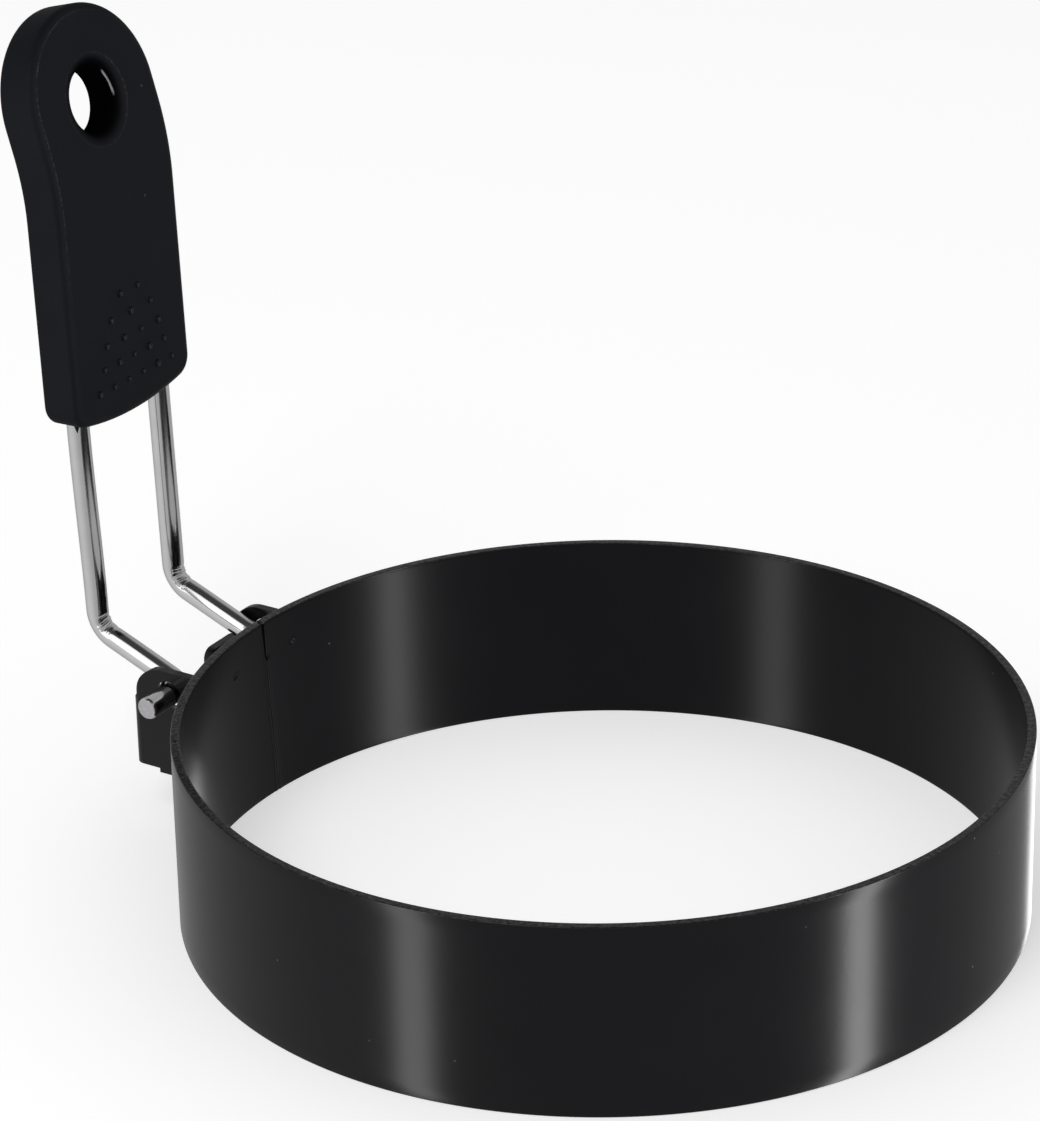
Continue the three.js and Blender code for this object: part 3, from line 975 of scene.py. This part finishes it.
def splay(along):
    """How far the near leg stands out from its straight place, most where it enters the grip."""
    rise = ease(along, knee_end, grip_foot)
    return leg_splay * rise * (1 - ease(along, grip_foot, grip_foot + splay_reach))


def line_object(name, half):
    """The whole line as points and edges: one half, and the other with the splay."""
    line = half + [(-a - splay(b), b, share) for a, b, share in half[-2::-1]]
    edges = [(i, i + 1) for i in range(len(line) - 1)]
    obj = make_object(name, [on_handle(a, b) for a, b, share in line], [], edges=edges)
    keep_values(obj, thickness_share=[share for a, b, share in line])
    return obj


wire = line_object("bent_wire", wire_half_line())
print("wire line of", len(wire.data.vertices), "points")

# %% Wire tree
geometry_out = [("Geometry", "Geometry")]
wire_inputs = [
    ("Geometry", "Geometry", None),
    ("Wire Radius", "Float", 0.001),
    ("Sides", "Int", 32),
    ("Material", "Material", None),
]


def end_tree(tree, geometry, given, result):
    """Ends a tree: smooth shading, real geometry and the material."""
    smooth = node(tree, "GeometryNodeSetShadeSmooth", Geometry=geometry).outputs[0]
    real = node(tree, "GeometryNodeRealizeInstances", Geometry=smooth).outputs[0]
    paint = node(tree, "GeometryNodeSetMaterial", Geometry=real, Material=given["Material"])
    set_inputs(tree, result, Geometry=paint.outputs[0])


def keep_attribute(tree, geometry, name, data_type, value):
    """Stores a value with each point under a name."""
    store = node(tree, "GeometryNodeStoreNamedAttribute", data_type=data_type, domain="POINT")
    set_inputs(tree, store, Name=name, Geometry=geometry, Value=value)
    return store.outputs["Geometry"]


def wire_tree():
    tree, given, result = new_tree("drawn_wire", "GeometryNodeTree", wire_inputs, geometry_out)
    curve = node(tree, "GeometryNodeMeshToCurve", Mesh=given["Geometry"]).outputs["Curve"]
    length = node(tree, "GeometryNodeSplineParameter").outputs["Length"]
    path = keep_attribute(tree, curve, "wire_along", "FLOAT", length)
    circle = node(tree, "GeometryNodeCurvePrimitiveCircle", Radius=given["Wire Radius"])
    set_inputs(tree, circle, Resolution=given["Sides"])
    position = node(tree, "GeometryNodeInputPosition").outputs[0]
    rim = keep_attribute(tree, circle.outputs["Curve"], "wire_side", "FLOAT_VECTOR", position)
    share = node(tree, "GeometryNodeInputNamedAttribute", data_type="FLOAT", Name="thickness_share")
    sweep = node(tree, "GeometryNodeCurveToMesh", Curve=path, Profile_Curve=rim, Fill_Caps=True)
    set_inputs(tree, sweep, Scale=share.outputs["Attribute"])
    end_tree(tree, sweep.outputs["Mesh"], given, result)
    return tree


def run_tree(obj, tree, **values):
    """Runs a tree on an object and leaves its plain result. Inputs are set by their identifiers."""
    modifier = obj.modifiers.new(tree.name, "NODES")
    modifier.node_group = tree
    sockets = [item for item in tree.interface.items_tree if item.in_out == "INPUT"]
    identifiers = {socket.name: socket.identifier for socket in sockets}
    for name, value in values.items():
        modifier[identifiers[name.replace("_", " ")]] = value
    return settle(obj)


run_tree(wire, wire_tree(), Wire_Radius=wire_radius, Sides=32, Material=wire_finish)
wire.data.materials.append(end_finish)
for face in wire.data.polygons:
    if len(face.vertices) > 4:  # only the two ends have so many corners
        face.material_index = 1
print("wire", len(wire.data.polygons), "faces")

# %% [markdown]
# The tool that bends the wire crushes the inner side of each knee a little. Sculpting would differ
# with every try, so the points of the bend's inner side are pressed flatter by a rule, and get a
# few small folds across it.

# %% Knee marks
crush_depth = 0.34 * MM
fold_depth = 0.13 * MM
fold_count = 3.2
fold_beat, fold_shift = 2.3, 1.3  # so that no two folds, and no two knees, are alike
crush_spread = 0.24  # of the bend's length
knee_margin = 0.3  # of the same, beyond the bend's ends
knee_reach, leg_reach = 1.1 * wire_radius, 1.4 * wire_radius


def crushed(point, aside, side):
    """Where a point of (out, up) near a knee goes. The folds of the two knees differ a little."""
    arm = point - knee_centre
    share = (math.atan2(arm.y, arm.x) + math.pi / 2 - leg_rise) / knee_turn
    if arm.length > knee_bend + knee_reach or not -knee_margin < share < 1 + knee_margin:
        return point
    inner = max(0.0, (knee_bend - arm.length) / wire_radius)
    amount = inner**1.5 * bell(share - 0.5, crush_spread)
    phase = 2 * math.pi * fold_count * share + side * fold_shift + 1.2 * aside / wire_radius
    fold = math.cos(phase) + 0.5 * math.cos(fold_beat * phase + side)
    moved = arm.length + crush_depth * amount + fold_depth * amount * fold
    return knee_centre + arm * (moved / arm.length)


deepest = 0.0
for vertex in wire.data.vertices:
    aside = abs(vertex.co.y) - leg_aside
    if abs(aside) <= leg_reach:
        before = Vector((ring_x - vertex.co.x, vertex.co.z))
        after = crushed(before, aside, math.copysign(1.0, vertex.co.y))
        deepest = max(deepest, (after - before).length)
        vertex.co.x, vertex.co.z = ring_x - after.x, after.y
print("knees crushed by up to", round(deepest / MM, 2), "mm")

# %% [markdown]
# ## The grip
#
# The grip is a flat slab that follows the handle's line: a shallow arc at the foot, straight
# sides, and a half circle at the top, concentric with the hanging hole. A Boolean could cut the
# hole, but it leaves long thin faces just where the rounded lip catches the light. Every line from
# the middle of the hole meets the outline once, so the whole skin can be one loop of levels:
# across the front, round the outer edge, across the back and round through the hole.

# %% Grip outline
grip_half = 10.4 * MM
foot_radius = 40.0 * MM
foot_corner = 2.4 * MM


def grip_outline():
    """The outline as (aside, along), all the way round from the middle of the foot."""
    corner_aside = grip_half - foot_corner
    foot_turn = math.asin(corner_aside / (foot_radius - foot_corner))
    corner_up = grip_foot + foot_radius - (foot_radius - foot_corner) * math.cos(foot_turn)
    quarter = math.pi / 2
    half = arc(0, grip_foot + foot_radius, foot_radius, -quarter, foot_turn - quarter, 16)
    half += arc(corner_aside, corner_up, foot_corner, foot_turn - quarter, 0, 14)[1:]
    half += [(grip_half, b) for b in evenly(corner_up, hole_along, 33)[1:]]
    half += arc(0, hole_along, grip_half, 0, quarter, 40)[1:]
    return half + [(-a, b) for a, b in half[-2:0:-1]]


def drawn_in(loop, distance):
    """A closed loop drawn in by a distance, square to itself."""
    result = []
    for i, (aside, along) in enumerate(loop):
        before, after = Vector(loop[i - 1]), Vector(loop[(i + 1) % len(loop)])
        way = (after - before).normalized()
        result.append((aside - way.y * distance, along + way.x * distance))
    return result


def hole_loop(loop, radius):
    """A point of a circle about the hole for each point of the outline, in line with it."""
    turns = [math.atan2(along - hole_along, aside) for aside, along in loop]
    return [(radius * math.cos(a), hole_along + radius * math.sin(a)) for a in turns]


def between(one, two, share):
    return [(a + (c - a) * share, b + (d - b) * share) for (a, b), (c, d) in zip(one, two)]


outline = grip_outline()
print("outline of", len(outline), "points")

# %% Grip levels
grip_thick = 2.4 * MM  # half of the thickness
grip_edge = 0.82 * MM
bore = 3.4 * MM
bore_lip = 1.6 * MM
bead_height = 0.035 * MM  # of the fine raised line where the face meets its rounded edges
bead_size = 0.1 * MM
bead_steps = [i * 0.5 * bead_size for i in range(7)]
face_steps, edge_steps, lip_steps = 26, 10, 40


def bead(off):
    """How high the fine raised line is at a distance from its middle."""
    return bead_height * bell(off, bead_size)


def front_levels():
    """Across the front, from the raised line round the hole to that along the outer edge."""
    rim = bore + bore_lip
    front = [(hole_loop(outline, rim + off), grip_thick + bead(off)) for off in bead_steps]
    first, last = front[-1][0], drawn_in(outline, grip_edge + 3 * bead_size)
    shares = evenly(0, 1, face_steps)[1:]
    front += [(between(first, last, share), grip_thick) for share in shares]
    near_edge = bead_steps[5:0:-1]
    front += [(drawn_in(outline, grip_edge + off), grip_thick + bead(off)) for off in near_edge]
    return front


def rounded_levels(width, steps, place):
    """A quarter round from the face down: place gives the loop at a distance from its wall."""
    levels = []
    for turn in evenly(0, math.pi / 2, steps):
        inset = width * (1 - math.sin(turn))
        lift = grip_thick - width * (1 - math.cos(turn))
        levels.append((place(inset), lift + bead(width - inset)))
    return levels


def grip_levels():
    """The loops of the skin with their lift, out from the hole's front rim and round to it."""
    front = front_levels()
    edge = rounded_levels(grip_edge, edge_steps, lambda inset: drawn_in(outline, inset))
    lip = rounded_levels(bore_lip, lip_steps, lambda inset: hole_loop(outline, bore + inset))
    side = [(outline, share * (grip_thick - grip_edge)) for share in (0.5, 0, -0.5)]
    back = [(loop, -lift) for loop, lift in edge[::-1] + front[::-1] + lip[1:]]
    wall = hole_loop(outline, bore)
    well = [(wall, share * (grip_thick - bore_lip)) for share in (-0.5, 0, 0.5)]
    return front + edge + side + back + well + lip[:0:-1]


levels = grip_levels()
print("skin of", len(levels), "levels")

# %% [markdown]
# Towards the bore the hole is painted black, and the lip's gloss fades, as painted shade; a thin
# pale crescent on its front rim is a painted highlight; and the fine raised lines are rubbed paler
# where hands pass and painted paler still where they catch the light. They could be painted on an
# image, but numbers kept with the points stay sharp at any size.

# %% Grip marks
glint_turn = 17.0  # degrees about the hole, of the painted highlight crescent on its front rim
glint_reach = 27.0
glint_width = 0.085 * MM
glint_inset, glint_drift = 0.22 * MM, 0.13 * MM  # from the bore, at its middle, and more at its ends
glint_softness = 0.035 * MM
# dark_from: where the lip's painted shade fades out; the second: where the lip's gloss, faded as
# painted shade, begins above the hole
dark_from, shade_from = 0.1, 0.5  # of the lip's width, the second above the hole
line_from, line_full = 0.2, 0.9  # of the raised line's height
least_rim, least_edge = 0.15, 0.12  # wear and painted highlight of the line round the hole, and along the outer edge
rim_turn, rim_spread = 5, 34  # degrees about the hole, of the most rubbed and most brightly painted part
near_full, near_none = -8 * MM, 4 * MM  # aside
crown_low, crown_full = 14 * MM, 30 * MM  # above the foot


def wear_and_light(aside, along, away, turn):
    """Wear and painted highlight of the raised lines: most by the hole and on the crown's near
    side.
    """
    if away < 1.2 * (bore + bore_lip):
        return least_rim + (1 - least_rim) * bell(turn - rim_turn, rim_spread)
    near_side = 1 - ease(aside, near_full, near_none)
    crown = ease(along, grip_foot + crown_low, grip_foot + crown_full)
    return least_edge + (1 - least_edge) * near_side * crown


def glint_crescent(away, turn):
    """1 on the thin crescent of painted highlight on the hole's front rim."""
    off = (turn - glint_turn) / glint_reach
    arc_share = max(0.0, 1 - off**2)
    off_middle = abs(away - bore - glint_inset - glint_drift * off**2)
    inside = glint_width * arc_share**0.7 - off_middle
    return ease(arc_share, 0, 0.4) * ease(inside, -glint_softness, glint_softness)


def grip_marks(aside, along, lift):
    """Shares of painted shade, shaded gloss, painted glint and worn, lit lines at a point of the
    skin.
    """
    away = math.hypot(aside, along - hole_along)
    turn = math.degrees(math.atan2(along - hole_along, aside))
    above = max(0.0, along - hole_along) / away
    # painted shade: the lip is painted black towards the bore
    hole_shade_share = 1 - ease(away, bore + dark_from * bore_lip, bore + bore_lip)
    # painted shade: the lip's gloss fades towards the bore, most above the hole
    gloss = ease(away, bore + shade_from * above * bore_lip, bore + bore_lip)
    # a painted highlight crescent on the front rim
    glint_share = glint_crescent(away, turn) if lift > 0 else 0.0
    line_low, line_high = (grip_thick + share * bead_height for share in (line_from, line_full))
    # worn, and painted paler as a highlight, on the raised lines
    worn_and_lit = wear_and_light(aside, along, away, turn) * ease(lift, line_low, line_high)
    return hole_shade_share, gloss, glint_share, worn_and_lit


points = [(aside, along, lift) for loop, lift in levels for aside, along in loop]
marks = list(zip(*(grip_marks(*point) for point in points)))
print("most of each mark", [round(max(values), 2) for values in marks])

# %% Grip mesh
same_place = 0.0005 * MM
bore_share = 0.12  # of the lip's width, that belongs to the bore's own finish


def close_skin(mesh):
    """Merges the points that lie on each other and turns the faces outwards."""
    opened = bmesh.new()
    opened.from_mesh(mesh)
    bmesh.ops.remove_doubles(opened, verts=opened.verts, dist=same_place)
    bmesh.ops.recalc_face_normals(opened, faces=opened.faces)
    opened.to_mesh(mesh)
    opened.free()


def build_grip():
    vertices = [on_handle(*point) for point in points]
    faces = skin(len(levels), len(outline))
    obj = make_object("silicone_grip", vertices, faces, [silicone, bore_finish, lip_finish])
    names = ("hole_shade_share", "lip_shaded_gloss", "painted_glint", "worn_and_lit_edge")
    keep_values(obj, **dict(zip(names, marks)))
    close_skin(obj.data)
    middle = on_handle(0, hole_along)
    axis = on_handle(0, hole_along, MM) - middle
    for face in obj.data.polygons:
        arm = face.center - middle
        into_lip = ((arm - arm.project(axis)).length - bore) / bore_lip
        face.material_index = 1 if into_lip < bore_share else 2 if into_lip < 1 else 0
    return obj


grip = build_grip()
print("grip", len(grip.data.polygons), "faces")

# %% [markdown]
# Where the near leg leaves the grip, a little silicone has crept out of the mould and lies on the
# wire as a short pointed tongue. It could be drawn out of the grip's own skin, but as a small
# closed drop, half sunk in the wire, it leaves the skin's even levels alone.

# %% Flash tongue
tongue_length = 0.62 * MM
tongue_root = 0.4 * MM  # how deep it starts in the grip
tongue_width = 0.36 * MM
tongue_thick = 0.15 * MM
tongue_turn = math.radians(57.6)  # about the wire, from the ring's side towards the near side
tongue_point = 0.55  # how pointed it is
tongue_rows, tongue_sides = 10, 12


def build_tongue():
    """A flat pointed drop along the near leg."""
    aside = leg_aside + leg_splay
    foot = grip_foot + foot_radius - math.sqrt(foot_radius**2 - aside**2)
    out = level_way(tongue_turn)
    vertices = []
    for i in range(tongue_rows):
        share = i / tongue_rows
        taper = math.sqrt(1 - share) * (1 - tongue_point * share)
        along = foot + tongue_root - share * (tongue_length + tongue_root)
        for k in range(tongue_sides):
            turn = 2 * math.pi * k / tongue_sides
            spot = out * (wire_radius + tongue_thick * taper * math.cos(turn))
            spot += square(out) * (tongue_width * taper * math.sin(turn))
            vertices.append(on_handle(-aside - spot.y, along, spot.x))
    tip = out * wire_radius
    vertices.append(on_handle(-aside - tip.y, foot - tongue_length, tip.x))
    faces = [list(range(tongue_sides))] + skin(tongue_rows, tongue_sides, closed=False)
    last = (tongue_rows - 1) * tongue_sides
    for k in range(tongue_sides):
        faces.append((last + k, len(vertices) - 1, last + (k + 1) % tongue_sides))
    obj = make_object("flash_tongue", vertices, faces, [silicone])
    close_skin(obj.data)
    return obj


tongue = build_tongue()
print("tongue", len(tongue.data.polygons), "faces")

# %% [markdown]
# ## The nubs
#
# The thumb rests on a triangle of small nubs. Bumps in the grip's own mesh would need far finer
# levels. They are one shape repeated, so Geometry Nodes sets a low dome on each of their places,
# and gives each a slightly different size from a fixed seed.

# %% Nubs
nub_rows = [(4.0, 6, 2.62), (6.45, 5, 2.70), (8.9, 4, 3.10), (11.5, 3, 3.55), (13.95, 2, 3.10)]
nub_shift = 0.4 * MM  # the pattern lies a little towards the far side
nub_inputs = [
    ("Geometry", "Geometry", None),
    ("Nub Width", "Float", 0.0006),
    ("Nub Height", "Float", 0.0003),
    ("Facing", "Vector", (1.0, 0.0, 0.0)),
    ("Size Spread", "Float", 0.12),
    ("Seed", "Int", 7),
    ("Material", "Material", None),
]


def nub_places():
    """A row is (mm above the foot, how many nubs, mm from one to the next)."""
    places = []
    for above_foot, count, spacing in nub_rows:
        for i in range(count):
            aside = nub_shift + (i - (count - 1) / 2) * spacing * MM
            places.append(on_handle(aside, grip_foot + above_foot * MM, grip_thick))
    return places


def nub_tree():
    tree, given, result = new_tree("small_nubs", "GeometryNodeTree", nub_inputs, geometry_out)
    spots = node(tree, "GeometryNodeMeshToPoints", Mesh=given["Geometry"]).outputs["Points"]
    dome = node(tree, "GeometryNodeMeshUVSphere", Segments=14, Rings=10, Radius=1.0)
    half = maths(tree, "MULTIPLY", given["Nub Width"], 0.5)
    size = node(tree, "ShaderNodeCombineXYZ", X=half, Y=half, Z=given["Nub Height"])
    random = node(tree, "FunctionNodeRandomValue", data_type="FLOAT", Seed=given["Seed"])
    for socket, operation in zip(random.inputs[2:4], ("SUBTRACT", "ADD")):
        feed(tree, socket, maths(tree, operation, 1.0, given["Size Spread"]))
    scaled = node(tree, "ShaderNodeVectorMath", operation="SCALE", Scale=random.outputs[1])
    feed(tree, scaled.inputs[0], size.outputs[0])
    face = node(tree, "FunctionNodeAlignRotationToVector", axis="Z", Vector=given["Facing"])
    place = node(tree, "GeometryNodeInstanceOnPoints", Points=spots)
    set_inputs(tree, place, Instance=dome.outputs["Mesh"], Rotation=face.outputs["Rotation"])
    set_inputs(tree, place, Scale=scaled.outputs["Vector"])
    end_tree(tree, place.outputs["Instances"], given, result)
    return tree


nubs = make_object("grip_nubs", nub_places(), [])
nub_facing = (math.cos(stem_lean), 0.0, math.sin(stem_lean))
nub_sizes = {"Nub_Width": 0.76 * MM, "Nub_Height": 0.3 * MM, "Size_Spread": 0.2}
run_tree(nubs, nub_tree(), Facing=nub_facing, Seed=7, Material=nub_finish, **nub_sizes)
print("nubs", len(nubs.data.polygons), "faces")

# %% [markdown]
# ## Putting it together
#
# Each piece is listed with the CAD body it belongs to, the CAD node it stands for and the material
# slot of the record. It is parented to an empty for its body, and its CAD node is hidden. Last, the
# pieces join the collections that say which lamps reach them.

# %% Bodies and slots
for piece, body, cad_node, slot in (
    (coated_band, "ring", "ring_band", "coated_steel"),
    (bracket, "ring", "hinge_bracket", "coated_bracket"),
    (wire, "handle", "handle_wire", "bright_wire"),
    (grip, "handle", "grip", "soft_grip"),
    (nubs, "handle", None, "soft_grip"),
    (tongue, "handle", None, "soft_grip"),
):
    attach(piece, body)
    if cad_node:
        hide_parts(cad_node)
for piece in (coated_band, bracket, grip, nubs, tongue):
    black_pieces.objects.link(piece)
    matte_things.objects.link(piece)
wire_only.objects.link(wire)

# %% Sizes and the end
visual_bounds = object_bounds()
for name, (low, high) in (("cad", cad_bounds), ("visual", visual_bounds)):
    print(name, [round(v / MM, 2) for v in low], [round(v / MM, 2) for v in high])
